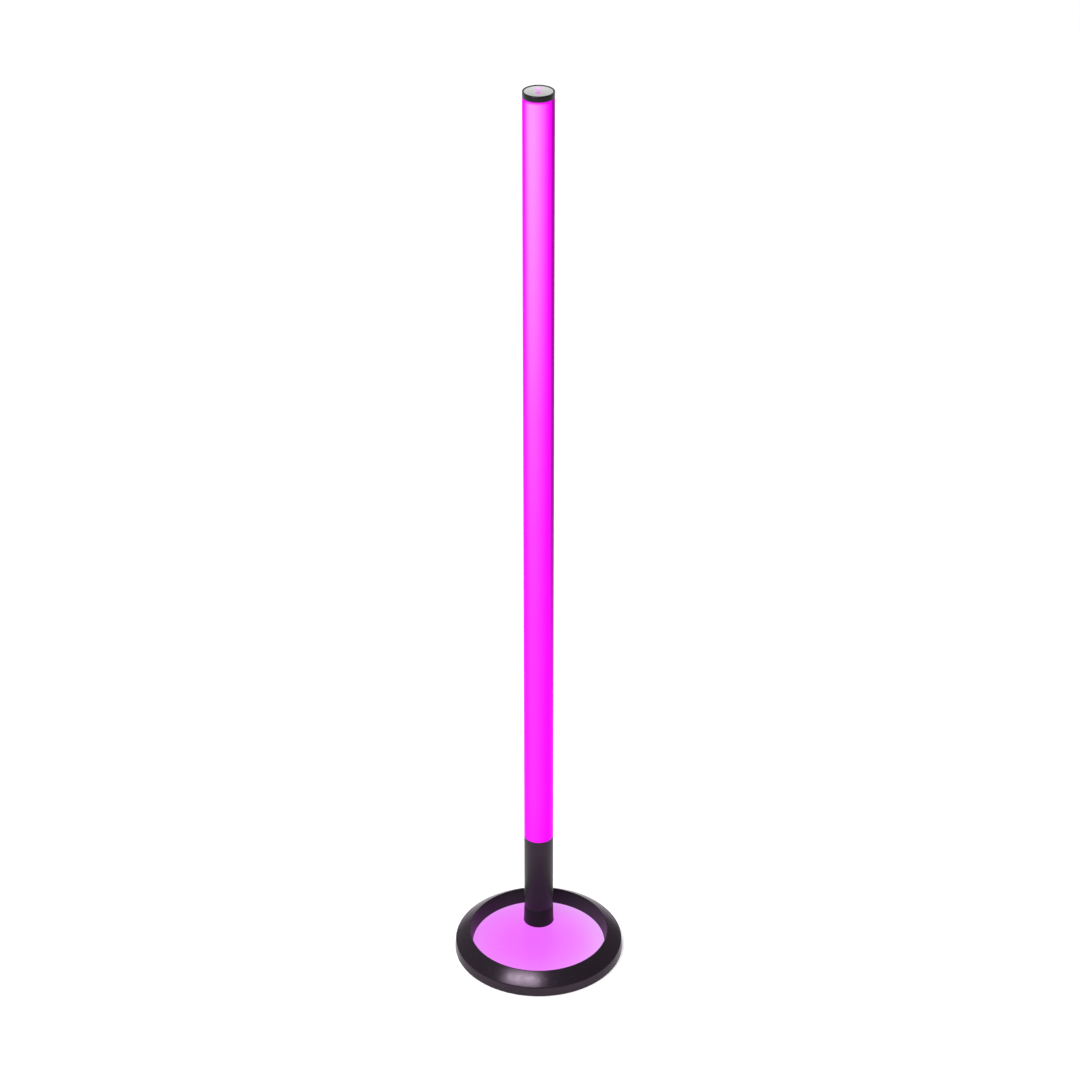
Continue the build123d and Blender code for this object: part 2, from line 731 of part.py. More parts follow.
with BuildPart() as end_cap:
    with BuildSketch(pole_level(cap_bottom)):
        Circle(tube_r)
    extrude(amount=cap_height)
    fillet(end_cap.edges().sort_by(Axis.Z)[-1], cap_round)
    with BuildSketch(pole_level(skirt_bottom)):
        Circle(skirt_r)
    extrude(amount=skirt_length)
    with BuildSketch(pole_level(cap_plate_bottom)):
        Circle(recess_r)
    extrude(amount=cap_height, mode=Mode.SUBTRACT)
    with BuildSketch(pole_level(shelf_top)):
        Circle(cavity_r)
    extrude(amount=cap_height, mode=Mode.SUBTRACT)
    with BuildSketch(pole_level(shelf_top - shelf_thickness)):
        Circle(cavity_r - shelf_width)
    extrude(amount=cap_height, mode=Mode.SUBTRACT)
    with BuildSketch(pole_level(skirt_bottom)):
        Circle(skirt_r - skirt_wall)
    extrude(amount=shelf_top - shelf_thickness - skirt_bottom, mode=Mode.SUBTRACT)
    with Locations((0, pole_setback, shelf_top - shelf_thickness)):
        with PolarLocations(cavity_r - shelf_width / 2, 2):
            Cylinder(board_screw[0] / 2 + thread_gap, shelf_thickness, align=standing, mode=Mode.SUBTRACT)
end_cap.part.label = "end_cap"
export_step(end_cap.part, "parts/end_cap.step")

button_places = {
    "power_button": (power_button_back, power_button_dia),
    "mode_button": (-mode_button_front, mode_button_dia),
}

with BuildPart() as cap_plate:
    with BuildSketch(pole_level(cap_plate_bottom)):
        Circle(recess_r - slip)
        for offset_y, width in button_places.values():
            with Locations((0, offset_y)):
                Circle(width / 2 + slip, mode=Mode.SUBTRACT)
    extrude(amount=cap_plate_thickness)
    chamfer(cap_plate.faces().sort_by(Axis.Z)[-1].edges(), slip)
cap_plate.part.label = "cap_plate"
export_step(cap_plate.part, "parts/cap_plate.step")

flange_top = cap_plate_bottom - slip
for name, (offset_y, width) in button_places.items():
    with BuildPart() as button:
        with BuildSketch(pole_level(flange_top - button_flange_height)):
            with Locations((0, offset_y)):
                Circle(width / 2 + button_flange)
        extrude(amount=button_flange_height)
        with BuildSketch(pole_level(flange_top)):
            with Locations((0, offset_y)):
                Circle(width / 2)
        extrude(amount=cap_plate_top + button_rise - flange_top)
        fillet(button.edges().sort_by(Axis.Z)[-1], button_rise)
    button.part.label = name
    export_step(button.part, f"parts/{name}.step")

with BuildPart() as button_board:
    with BuildSketch(pole_level(shelf_top)):
        Circle(cavity_r - slip)
        with PolarLocations(cavity_r - shelf_width / 2, 2):
            Circle(board_screw[0] / 2 + slip, mode=Mode.SUBTRACT)
    extrude(amount=board_thickness)
button_board.part.label = "button_board"
export_step(button_board.part, "parts/button_board.step")

with BuildPart() as board_screws:
    with Locations((0, pole_setback, button_board_top)):
        with PolarLocations(cavity_r - shelf_width / 2, 2):
            Cylinder(board_screw[1] / 2, board_screw[0] / 2, align=standing)
            Cylinder(board_screw[0] / 2, board_screw[2],
                     align=(Align.CENTER, Align.CENTER, Align.MAX))
board_screws.part.label = "board_screws"
export_step(board_screws.part, "parts/board_screws.step")

# Each switch's stem ends just below its button when the button is fully down.
stem_top = flange_top - button_flange_height - button_travel - slip
switch_places = [(0, offset_y) for offset_y, width in button_places.values()]
with BuildPart() as button_switches:
    blocks(pole_level(button_board_top), switch_places, [switch_size, switch_size])
    with BuildSketch(pole_level(button_board_top + switch_size[2])):
        with Locations(*switch_places):
            Circle(switch_stem_dia / 2)
    extrude(amount=stem_top - button_board_top - switch_size[2])
button_switches.part.label = "button_switches"
export_step(button_switches.part, "parts/button_switches.step")

lamp_size = (1.6, 0.8, 0.6)
lamp_places = [(side * (switch_size[0] / 2 + lamp_size[0]), offset_y)
               for side in (-1, 1) for offset_y, width in button_places.values()]
with BuildPart() as indicator_leds:
    blocks(pole_level(button_board_top), lamp_places, [lamp_size] * len(lamp_places))
indicator_leds.part.label = "indicator_leds"
export_step(indicator_leds.part, "parts/indicator_leds.step")

with BuildPart() as button_cable:
    with BuildSketch(pole_level(control_board_top)):
        Rectangle(cable_width, cable_thickness)
    extrude(amount=shelf_top - control_board_top)
button_cable.part.label = "button_cable"
export_step(button_cable.part, "parts/button_cable.step")
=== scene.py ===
import json
import math
import bmesh
import bpy
from mathutils import Euler, Matrix, Vector


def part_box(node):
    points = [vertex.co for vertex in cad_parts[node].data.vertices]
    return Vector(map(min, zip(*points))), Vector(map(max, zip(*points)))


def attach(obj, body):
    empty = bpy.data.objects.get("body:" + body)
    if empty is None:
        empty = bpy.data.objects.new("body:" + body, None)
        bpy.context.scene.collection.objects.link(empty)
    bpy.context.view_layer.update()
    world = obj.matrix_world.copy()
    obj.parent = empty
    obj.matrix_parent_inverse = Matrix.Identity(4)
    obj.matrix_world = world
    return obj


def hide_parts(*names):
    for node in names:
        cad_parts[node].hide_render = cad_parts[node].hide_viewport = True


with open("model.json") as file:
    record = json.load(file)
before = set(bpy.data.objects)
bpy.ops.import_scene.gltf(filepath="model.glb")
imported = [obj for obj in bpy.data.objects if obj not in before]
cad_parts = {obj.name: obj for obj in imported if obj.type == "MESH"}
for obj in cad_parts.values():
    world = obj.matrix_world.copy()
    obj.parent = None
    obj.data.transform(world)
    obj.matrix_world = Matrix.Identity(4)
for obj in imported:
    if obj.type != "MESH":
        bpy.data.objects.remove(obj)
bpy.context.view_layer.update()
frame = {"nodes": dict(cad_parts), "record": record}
nodes = frame["nodes"]
slotOf = {row["node"]: row["material_slot"] for row in frame["record"]["subparts"]}
print("frame loaded:", len(nodes), "CAD nodes")

mm = 0.001
fullTurn = 2 * math.pi


# where things are, from the frame
def middle(node):
    low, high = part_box(node)
    return (low + high) / 2


def radius(node):
    low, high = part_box(node)
    return max(high.x - low.x, high.y - low.y) / 2


poleX, poleY = middle("end_cap").xy
tubeLow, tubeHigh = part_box("diffuser_tube")
tubeR = radius("diffuser_tube")
guideLow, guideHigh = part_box("light_guide")
guideR = radius("light_guide")
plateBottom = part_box("base_plate")[0].z


def addObject(name, data):
    # a new object in the scene, at the origin
    made = bpy.data.objects.new(name, data)
    bpy.context.scene.collection.objects.link(made)
    return made


# camera, level from side to side, looking down at the light
camera = {"place": (0.0017, -3.235, 2.491), "tilt": 59.91, "lens": 102.25, "sees": 50.0}
cameraData = bpy.data.cameras.new("camera")
cameraData.lens = camera["lens"]
cameraData.clip_end = camera["sees"]
cameraObject = addObject("camera", cameraData)
cameraObject.location = camera["place"]
cameraObject.rotation_euler = (math.radians(camera["tilt"]), 0, 0)
bpy.context.scene.camera = cameraObject
bpy.context.scene.view_settings.view_transform = "Standard"
print("camera placed")


def rgba(colour):
    return (*colour, 1.0)


class Wire:
    # one socket in a material; arithmetic on it adds Math nodes
    def __init__(self, tree, output=None):
        self.tree = tree
        self.output = output

    def node(self, kind, inputs=None, outlet=0, stops=None, **settings):
        # any node: its settings first, then values or links for its sockets
        made = self.tree.nodes.new(kind)
        for setting, value in settings.items():
            setattr(made, setting, value)
        if stops:
            elements = made.color_ramp.elements
            elements.remove(elements[1])
            elements[0].position = stops[0][0]
            elements[0].color = rgba(stops[0][1])
            for position, colour in stops[1:]:
                elements.new(position).color = rgba(colour)
        for socket, value in (inputs or {}).items():
            if isinstance(value, Wire):
                self.tree.links.new(value.output, made.inputs[socket])
            else:
                made.inputs[socket].default_value = value
        return Wire(self.tree, made.outputs[outlet])

    def maths(self, operation, first, second=0.0):
        return self.node("ShaderNodeMath", {0: first, 1: second}, operation=operation)

    def __add__(self, other):
        return self.maths("ADD", self, other)

    def __sub__(self, other):
        return self.maths("SUBTRACT", self, other)

    def __rsub__(self, other):
        return self.maths("SUBTRACT", other, self)

    def __mul__(self, other):
        return self.maths("MULTIPLY", self, other)

    def __truediv__(self, other):
        return self.maths("DIVIDE", self, other)

    def __abs__(self):
        return self.maths("ABSOLUTE", self)

    __radd__ = __add__
    __rmul__ = __mul__

    def rise(self, low, high):
        # smooth step from 0 at low to 1 at high
        inputs = {"Value": self, "From Min": low, "From Max": high}
        return self.node("ShaderNodeMapRange", inputs, interpolation_type="SMOOTHSTEP")

    def mix(self, first, second):
        # the first colour where this wire is 0, the second where it is 1
        first, second = (end if isinstance(end, Wire) else rgba(end) for end in (first, second))
        return self.node("ShaderNodeMix", {0: self, 6: first, 7: second}, outlet=2, data_type="RGBA")

    def noise(self, scale, detail=2.0):
        inputs = {"Vector": self, "Scale": scale, "Detail": detail}
        return self.node("ShaderNodeTexNoise", inputs, outlet="Fac")

    def cells(self, scale, randomness, **settings):
        inputs = {"Vector": self, "Scale": scale, "Randomness": randomness}
        return self.node("ShaderNodeTexVoronoi", inputs, outlet="Distance", **settings)

    def shifted(self, place=(0, 0, 0), scale=(1, 1, 1)):
        # measured from a place, then scaled
        inputs = {"Vector": self, "Location": tuple(-p * s for p, s in zip(place, scale)), "Scale": scale}
        return self.node("ShaderNodeMapping", inputs)

    def axis(self, name):
        return self.node("ShaderNodeSeparateXYZ", {0: self}, outlet=name)

    def away(self, x, y):
        # distance from an upright line
        flat = self.shifted((x, y, 0), (1, 1, 0))
        return flat.node("ShaderNodeVectorMath", {0: flat}, outlet="Value", operation="LENGTH")

    def wrapped(self, turn):
        # an angle brought to within half a turn of zero
        inputs = {0: self, 1: turn / 2, 2: -turn / 2}
        return self.node("ShaderNodeMath", inputs, operation="WRAP")

    def ramp(self, stops):
        return self.node("ShaderNodeValToRGB", {0: self}, stops=stops)

    def bump(self, strength, depth):
        return self.node("ShaderNodeBump", {"Height": self, "Strength": strength, "Distance": depth})


def newMaterial(name, constants):
    # a material, its object coordinates and its shader with the constants set on it
    material = bpy.data.materials.new(name)
    material.use_nodes = True
    tree = material.node_tree
    shader = tree.nodes["Principled BSDF"]
    for socket, value in constants.items():
        shader.inputs[socket].default_value = value
    coordinates = Wire(tree).node("ShaderNodeTexCoord", outlet="Object")
    return material, coordinates, shader


def feed(shader, **wires):
    # varying inputs, by short names
    sockets = {"colour": "Base Color", "rough": "Roughness", "normal": "Normal",
               "metal": "Metallic", "glow": "Emission Color"}
    for name, wire in wires.items():
        wire.tree.links.new(wire.output, shader.inputs[sockets[name]])


# in the finishes, the scales of noises are counts to a metre
mouldSkin = {"clouds": 26, "specks": 2200, "smears": 140, "smearRough": 0.06, "speckRough": 0.04,
             "pits": 0.02 * mm}


def moulded(name, dark, light, rough, gloss, tint=(1, 1, 1), inside=None):
    # satin moulding: fine even texture and a cloudy tone; given an inside radius, it is
    # metallic lacquer outside it and duller plastic inside, whose colour is painted greener against the lit
    # floor's pink light
    material, place, shader = newMaterial(name, {"Specular IOR Level": gloss, "Specular Tint": rgba(tint)})
    cloud = place.noise(mouldSkin["clouds"], 4)
    speck = place.noise(mouldSkin["specks"], 3)
    smear = place.noise(mouldSkin["smears"], 5).rise(0.35, 0.75)
    tone = (cloud * 0.7 + speck * 0.3).rise(0.3, 0.7)
    roughness = rough + mouldSkin["smearRough"] * smear + mouldSkin["speckRough"] * speck
    colour = tone.mix(dark, light)
    if inside:
        wall = place.away(0, 0).rise(inside["radius"], inside["radius"] - inside["blend"])
        # inside the radius the colour is painted greener, to cancel the lit floor's pink light on the inside
        # wall
        colour = wall.mix(colour, tone.mix(inside["dark"], inside["light"]))
        roughness = roughness + wall * inside["duller"]
        feed(shader, metal=(1 - wall) * inside["lacquer"])
    feed(shader, colour=colour, rough=roughness, normal=speck.bump(0.2, mouldSkin["pits"]))
    return material


dyedSkin = {"lines": 900, "stretch": (1, 1, 0.04), "clouds": 18, "tooth": 3800, "lineRough": 0.08,
            "depth": 0.01 * mm, "gloss": 0.36, "tint": (1, 0.8, 1)}


def anodised(name, dark, light, rough, foot):
    # satin anodised tube: faint drawn lines under a very fine tooth; towards the foot the colour
    # is painted greener against the lit floor's pink light, so that the floor turns it less pink
    material, place, shader = newMaterial(name, {
        "Specular IOR Level": dyedSkin["gloss"], "Specular Tint": rgba(dyedSkin["tint"]),
    })
    drawn = place.shifted(scale=dyedSkin["stretch"]).noise(dyedSkin["lines"])
    tooth = place.noise(dyedSkin["tooth"])
    tone = (drawn * 0.6 + place.noise(dyedSkin["clouds"], 3) * 0.4).rise(0.35, 0.68)
    # share of the painted greener tint, full at the foot, against the lit floor's pink light
    low = place.axis("Z").rise(foot["top"], foot["bottom"])
    feed(shader, colour=low.mix(tone.mix(dark, light), tone.mix(foot["dark"], foot["light"])),
         rough=rough + dyedSkin["lineRough"] * drawn,
         normal=(tooth * 0.7 + drawn * 0.3).bump(0.18, dyedSkin["depth"]))
    return material


litTube = {
    "facing": -105.0,            # degrees; the way the front LED strip looks, from which the painted highlight and painted shade are set
    "paleFrom": (-48.0, -12.0),  # degrees round from a strip, where the pale stripe, a painted highlight, begins
    "paleTo": (60.0, -10.0),     # and where it ends
    "dark": 83.0,                # degrees round from a strip to the middle of the dark edge, a painted shade
    "darkWidth": (24.0, 6.0),    # degrees to each side of it, where it ends and where it is full
    "darkRise": (0.04, 0.52),    # shares of the height, where it begins and where it is full
    "paleGreen": [(0.0, 0.020), (0.06, 0.030), (0.33, 0.042), (0.46, 0.058), (0.6, 0.098),
                  (0.73, 0.18), (0.87, 0.26), (0.96, 0.31)],  # the painted highlight's green, up the tube
    # deepRed and deepBlue are the red and blue left in the middle of the painted shade
    "edgeGreen": 0.002, "deepRed": 0.27, "deepBlue": 0.24,
    "fadeIn": 4.5 * mm,          # below the cap, over which the painted highlight fades out: a painted shade under the cap
    "mottle": 260, "mottleGreen": 0.06, "mottleRough": 0.06, "ripple": 1500, "depth": 0.01 * mm,
}


def opalLit(name):
    # the wall glows from the LED strips inside; palest where a strip looks at the wall, a painted highlight,
    # and deepest between the strips, a painted shade; both fade towards the foot, where the whole wall glows
    # evenly
    material, place, shader = newMaterial(name, {
        "Roughness": 0.35, "Specular IOR Level": 0.01, "Emission Strength": 1.0,
    })
    across = place.shifted((poleX, poleY, tubeLow.z), (1, 1, 1 / (tubeHigh.z - tubeLow.z)))
    height = across.axis("Z")
    bearing = place.maths("ARCTAN2", across.axis("Y"), across.axis("X")) * math.degrees(1)
    turned = (bearing - litTube["facing"]).wrapped(180)
    # the pale stripe: a painted highlight
    paintedHighlightBand = turned.rise(*litTube["paleFrom"]) * turned.rise(*litTube["paleTo"])
    green = height.ramp([(share, (level, level, level)) for share, level in litTube["paleGreen"]])
    # painted shade under the cap: none of the painted highlight at the cap, all of it fadeIn below
    top = place.axis("Z").rise(tubeHigh.z, tubeHigh.z - litTube["fadeIn"])
    mottle = place.noise(litTube["mottle"], 3).rise(0.2, 0.8)
    uneven = 1 - litTube["mottleGreen"] / 2 + litTube["mottleGreen"] * mottle
    paintedHighlight = paintedHighlightBand * green.axis("X") * top * uneven + litTube["edgeGreen"]
    # the dark edge: a painted shade, deepening up the tube
    fromPaintedShade = abs((turned - litTube["dark"]).wrapped(180))
    paintedShade = fromPaintedShade.rise(*litTube["darkWidth"]) * height.rise(*litTube["darkRise"])
    red = 1 - paintedShade * (1 - litTube["deepRed"])
    blue = 1 - paintedShade * (1 - litTube["deepBlue"])
    light = place.node("ShaderNodeCombineXYZ", {0: red, 1: paintedHighlight * (1 - paintedShade), 2: blue})
    feed(shader, glow=light, colour=mottle.mix((0.05, 0.0004, 0.05), (0.065, 0.0006, 0.065)),
         rough=0.33 + litTube["mottleRough"] * mottle,
         normal=place.noise(litTube["ripple"]).bump(0.05, litTube["depth"]))
    return material


litFloor = {
    "eye": (-12 * mm, 0.0), "reach": 112 * mm,  # the deepest point, and how far from it a share of 1 is
    "red": 0.78, "blue": 0.90,
    "green": [(0.0, 0.127), (0.3, 0.145), (0.5, 0.185), (0.62, 0.225), (0.73, 0.29),
              (0.84, 0.375), (0.95, 0.455)],
    "dotPitch": 1.6 * mm, "dotGlow": 0.03, "dotDepth": 0.02 * mm, "clouds": 90,
}


def edgeLit(name):
    # paler towards the LEDs at the rim; printed dots scatter the light up
    material, place, shader = newMaterial(name, {"Specular IOR Level": 0.1, "Emission Strength": 1.0})
    far = place.away(*litFloor["eye"]) / litFloor["reach"]
    light = far.ramp([(share, (litFloor["red"], green, litFloor["blue"]))
                      for share, green in litFloor["green"]])
    dots = place.cells(1 / litFloor["dotPitch"], 0.15).rise(0.45, 0.3)
    feed(shader, glow=(dots * litFloor["dotGlow"]).mix(light, (0.9, 0.4, 0.9)),
         colour=dots.mix((0.09, 0.013, 0.09), (0.12, 0.02, 0.12)),
         rough=0.24 + 0.05 * place.noise(litFloor["clouds"], 3),
         normal=dots.bump(0.04, litFloor["dotDepth"]))
    return material


turning = {"rings": 9000, "bands": 700, "depth": 0.01 * mm}


def turnedSilver(name, centre):
    # satin disc turned on a lathe: fine rings, brighter and duller in bands
    material, place, shader = newMaterial(name, {"Metallic": 1.0})
    out = place.away(*centre)
    rings, bands = (out.node("ShaderNodeTexNoise", {"W": out, "Scale": turning[kind], "Detail": 2},
                             noise_dimensions="1D") for kind in ("rings", "bands"))
    tone = (rings * 0.5 + bands * 0.5).rise(0.3, 0.7)
    feed(shader, colour=tone.mix((0.56, 0.56, 0.565), (0.66, 0.66, 0.665)),
         rough=0.24 + 0.08 * bands, normal=rings.bump(0.12, turning["depth"]))
    return material


litKeys = {"power_button": {"heart": (0.86, 0.56, 0.92), "rim": (0.90, 0.42, 0.95)},
           "mode_button": {"heart": (0.66, 0.16, 0.66), "rim": (0.74, 0.26, 0.74)}}
keyGlow = {"heart": 0.15, "rim": 0.6, "seam": 0.1 * mm, "mottle": 1400, "depth": 0.01 * mm}


def keyLit(name):
    # both translucent keys: the power key is palest in its middle, the mode key deepest there
    material, place, shader = newMaterial(name, {"Specular IOR Level": 0.12, "Emission Strength": 1.0})
    colours = {}
    for node, key in litKeys.items():
        far = place.away(*middle(node).xy) / radius(node)
        colours[node] = far.rise(keyGlow["heart"], keyGlow["rim"]).mix(key["heart"], key["rim"])
    between = (middle("power_button").y + middle("mode_button").y) / 2
    back = place.axis("Y").rise(between - keyGlow["seam"], between + keyGlow["seam"])
    mottle = place.noise(keyGlow["mottle"])
    feed(shader, glow=back.mix(colours["mode_button"], colours["power_button"]),
         colour=mottle.mix((0.04, 0.01, 0.04), (0.07, 0.02, 0.07)),
         rough=0.35 + 0.1 * mottle, normal=mottle.bump(0.06, keyGlow["depth"]))
    return material


drawnSkin = {"streaks": 1500, "stretch": (1, 1, 0.05), "clouds": 45, "depth": 0.01 * mm}


def metal(name, dark, light, rough):
    # drawn metal with streaks along its length
    material, place, shader = newMaterial(name, {"Metallic": 1.0})
    streak = place.shifted(scale=drawnSkin["stretch"]).noise(drawnSkin["streaks"], 3)
    cloud = place.noise(drawnSkin["clouds"], 4)
    tone = (streak * 0.6 + cloud * 0.4).rise(0.3, 0.7)
    feed(shader, colour=tone.mix(dark, light), rough=rough + 0.15 * cloud,
         normal=streak.bump(0.1, drawnSkin["depth"]))
    return material


coatSkin = {"peel": 850, "clouds": 50, "depth": 0.04 * mm}


def powderCoat(name, dark, light):
    # orange-peel paint on steel
    material, place, shader = newMaterial(name, {"Specular IOR Level": 0.45})
    peel = place.noise(coatSkin["peel"])
    tone = place.noise(coatSkin["clouds"], 4).rise(0.3, 0.7)
    feed(shader, colour=tone.mix(dark, light), rough=0.48 + 0.1 * peel,
         normal=peel.bump(0.5, coatSkin["depth"]))
    return material


boardSkin = {"tracks": 420, "depth": 0.03 * mm, "resist": (0.008, 0.07, 0.025), "track": (0.02, 0.16, 0.06)}


def solderResist(name):
    # green boards with copper tracks just showing under the resist
    material, place, shader = newMaterial(name, {"Specular IOR Level": 0.5})
    cells = place.cells(boardSkin["tracks"], 1.0, distance="CHEBYCHEV")
    track = cells.rise(0.34, 0.36) * (1 - cells.rise(0.46, 0.48))
    feed(shader, colour=track.mix(boardSkin["resist"], boardSkin["track"]),
         rough=0.3 + 0.1 * track, normal=track.bump(0.3, boardSkin["depth"]))
    return material


def packages(name, dark, light, rough, grain=900):
    # small plain pieces with an even, slightly gritty face
    material, place, shader = newMaterial(name, {"Specular IOR Level": 0.45})
    grit = place.noise(grain, 3)
    feed(shader, colour=grit.rise(0.3, 0.7).mix(dark, light), rough=rough + 0.12 * grit,
         normal=grit.bump(0.2, 0.02 * mm))
    return material


def litPackages(name):
    # LED packages: pale faces whose lit phosphor is a little uneven
    material, place, shader = newMaterial(name, {"Emission Strength": 1.2, "Roughness": 0.4})
    grit = place.noise(700)
    feed(shader, colour=grit.mix((0.8, 0.6, 0.8), (0.9, 0.8, 0.9)),
         glow=grit.rise(0.3, 0.6).mix((1.0, 0.05, 1.0), (1.0, 0.35, 1.0)))
    return material


# painted greener tint at the sleeve's foot, against the lit floor's pink light
sleevePaintedFootTint = {"bottom": 25 * mm, "top": 120 * mm,
              "dark": (0.003, 0.015, 0.003), "light": (0.006, 0.020, 0.006)}
# inside wall of the base ring: duller, and painted greener against the lit floor's pink light
insideWall = {"radius": 90 * mm, "blend": 1.5 * mm, "duller": 0.3, "lacquer": 0.6,
              "dark": (0.014, 0.018, 0.014), "light": (0.022, 0.028, 0.022)}
finishes = {
    "dark_shell": moulded("darkShell", (0.028, 0.019, 0.028), (0.034, 0.023, 0.034), 0.20, 0.5,
                          (0.62, 0.56, 0.62), insideWall),
    "dark_sleeve": anodised("darkSleeve", (0.011, 0.006, 0.011), (0.016, 0.009, 0.016), 0.40, sleevePaintedFootTint),
    "black_plastic": moulded("blackPlastic", (0.003, 0.003, 0.003), (0.007, 0.007, 0.007), 0.22, 0.28),
    "opal_tube": opalLit("opalTube"),
    "light_guide": edgeLit("lightGuide"),
    "cap_silver": turnedSilver("capSilver", (poleX, poleY)),
    "lit_button": keyLit("litKey"),
    "rubber": packages("footRubber", (0.010, 0.010, 0.010), (0.022, 0.022, 0.022), 0.75, 1800),
    "plate_steel": powderCoat("plateSteel", (0.015, 0.015, 0.016), (0.021, 0.021, 0.022)),
    "screw_steel": metal("screwSteel", (0.10, 0.10, 0.105), (0.22, 0.22, 0.225), 0.28),
    "reflector": packages("reflectorFilm", (0.80, 0.80, 0.80), (0.88, 0.88, 0.88), 0.45),
    "circuit_board": solderResist("circuitBoard"),
    "film": packages("amberFilm", (0.42, 0.20, 0.03), (0.50, 0.26, 0.05), 0.2, 300),
    "chip_black": packages("chipBlack", (0.012, 0.012, 0.012), (0.03, 0.03, 0.03), 0.5),
    "led": litPackages("ledPackages"),
    "led_strip": packages("stripWhite", (0.70, 0.70, 0.69), (0.82, 0.82, 0.80), 0.4),
    "connector": packages("connectorIvory", (0.62, 0.58, 0.48), (0.72, 0.68, 0.58), 0.45),
    "core_aluminium": metal("coreAluminium", (0.62, 0.62, 0.63), (0.76, 0.76, 0.77), 0.35),
    "cable": packages("cableJacket", (0.30, 0.30, 0.31), (0.42, 0.42, 0.43), 0.5),
}
# the collar stands in the lit floor's pink light, so its colour is painted greener than the base ring's to
# cancel that light
collarFinish = moulded("collarPlastic", (0.001, 0.011, 0.001), (0.003, 0.015, 0.003), 0.42, 0.26,
                       (1, 0.8, 1))
for node, slot in slotOf.items():
    slots = nodes[node].data.materials
    slots.clear()
    slots.append(finishes[slot])
print("finishes made:", len(finishes))


# how every new mesh is made; steps are the sides of a full circle
mesher = {"weld": 0.002 * mm, "roundSegments": 5, "sharpAngle": 32, "drumSteps": 48, "seatSteps": 40}


def lathe(outline, steps, centre=(0, 0), bm=None):
    # outline is (radius, height, rounding) points; it closes on itself unless it starts on the axis
    bm = bm or bmesh.new()
    verts = [bm.verts.new((centre[0] + r, centre[1], z)) for r, z, _ in outline]
    links = list(zip(verts, verts[1:]))
    if outline[0][0] > 0:
        links.append((verts[-1], verts[0]))
    for pair in links:
        bm.edges.new(pair)
    profile = set(verts)
    for vert, (_, _, rounding) in zip(verts, outline):
        if rounding:
            made = bmesh.ops.bevel(bm, geom=[vert], offset=rounding, offset_type="OFFSET",
                                   segments=mesher["roundSegments"], profile=0.5, affect="VERTICES",
                                   clamp_overlap=True, material=-1)
            profile.discard(vert)
            profile.update(made["verts"])
    profile = [vert for vert in profile if vert.is_valid]
    edges = list({edge for vert in profile for edge in vert.link_edges})
    bmesh.ops.spin(bm, geom=profile + edges, cent=(*centre, 0), axis=(0, 0, 1), angle=fullTurn,
                   steps=steps, use_merge=True)
    return bm


def weld(bm):
    # merges doubles and points the faces outwards
    bmesh.ops.remove_doubles(bm, verts=bm.verts, dist=mesher["weld"])
    bmesh.ops.recalc_face_normals(bm, faces=bm.faces)


def meshOf(name, bm):
    mesh = bpy.data.meshes.new(name)
    bm.to_mesh(mesh)
    bm.free()
    return mesh


def finishPiece(name, bm, node, body, finish=None):
    # shades by angle, hangs the piece on its body and hides the CAD node it stands in for
    weld(bm)
    for face in bm.faces:
        face.smooth = True
    for edge in bm.edges:
        edge.smooth = edge.calc_face_angle(0) < math.radians(mesher["sharpAngle"])
    mesh = meshOf(name, bm)
    mesh.materials.append(finish or finishes[slotOf[node]])
    piece = addObject(name, mesh)
    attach(piece, body)
    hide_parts(node)


def cutBy(bm, cutters):
    # takes closed meshes out of a closed mesh, both as bmeshes
    pieces = []
    for shape in (bm, cutters):
        weld(shape)
        pieces.append(addObject("scratch", meshOf("scratch", shape)))
    modifier = pieces[0].modifiers.new("cut", "BOOLEAN")
    modifier.object = pieces[1]
    modifier.solver = "EXACT"
    modifier.use_self = True
    shaped = pieces[0].evaluated_get(bpy.context.evaluated_depsgraph_get())
    result = bmesh.new()
    result.from_mesh(bpy.data.meshes.new_from_object(shaped))
    for piece in pieces:
        bpy.data.objects.remove(piece)
    return result


def drum(bm, centre, reach, depth, turn=Euler()):
    # a closed cylinder, its axis on Z unless turned
    matrix = Matrix.Translation(centre) @ turn.to_matrix().to_4x4()
    bmesh.ops.create_cone(bm, cap_ends=True, segments=mesher["drumSteps"], radius1=reach, radius2=reach,
                          depth=depth, matrix=matrix)
    return bm


def block(bm, centre, size, seat=Matrix()):
    # a closed box, its centre measured from a seat and turned with it
    matrix = seat @ Matrix.Translation(centre) @ Matrix.Diagonal((*size, 1))
    bmesh.ops.create_cube(bm, size=1.0, matrix=matrix)
    return bm


# base ring: outer wall, broad bevel, crest and inner wall, with the hole for the inlet
ring = {
    "bottom": 0.6 * mm, "draft": 1.0 * mm, "shoulder": 13.0 * mm, "bevel": 19.6 * mm, "crest": 27.0 * mm,
    "lean": 2.9 * mm, "lipGap": 0.1 * mm, "wall": 2.4 * mm, "edge": 0.3 * mm,
    "crestRound": 1.7 * mm, "shoulderRound": 1.1 * mm,
    "insideCrest": (1.9 * mm, 4.4 * mm), "insideShoulder": (2.5 * mm, 1.5 * mm),  # in and down from outside
    "holeRadius": 3.9 * mm, "holeDepth": 12 * mm, "steps": 216,
}
outer = radius("base_ring")
shoulderR = outer - ring["draft"]
crestR = shoulderR - ring["bevel"]
lipR = crestR - ring["lean"]
lipZ = guideHigh.z + ring["lipGap"]
inletZ = middle("dc_inlet").z
backwards = Euler((math.pi / 2, 0, 0))
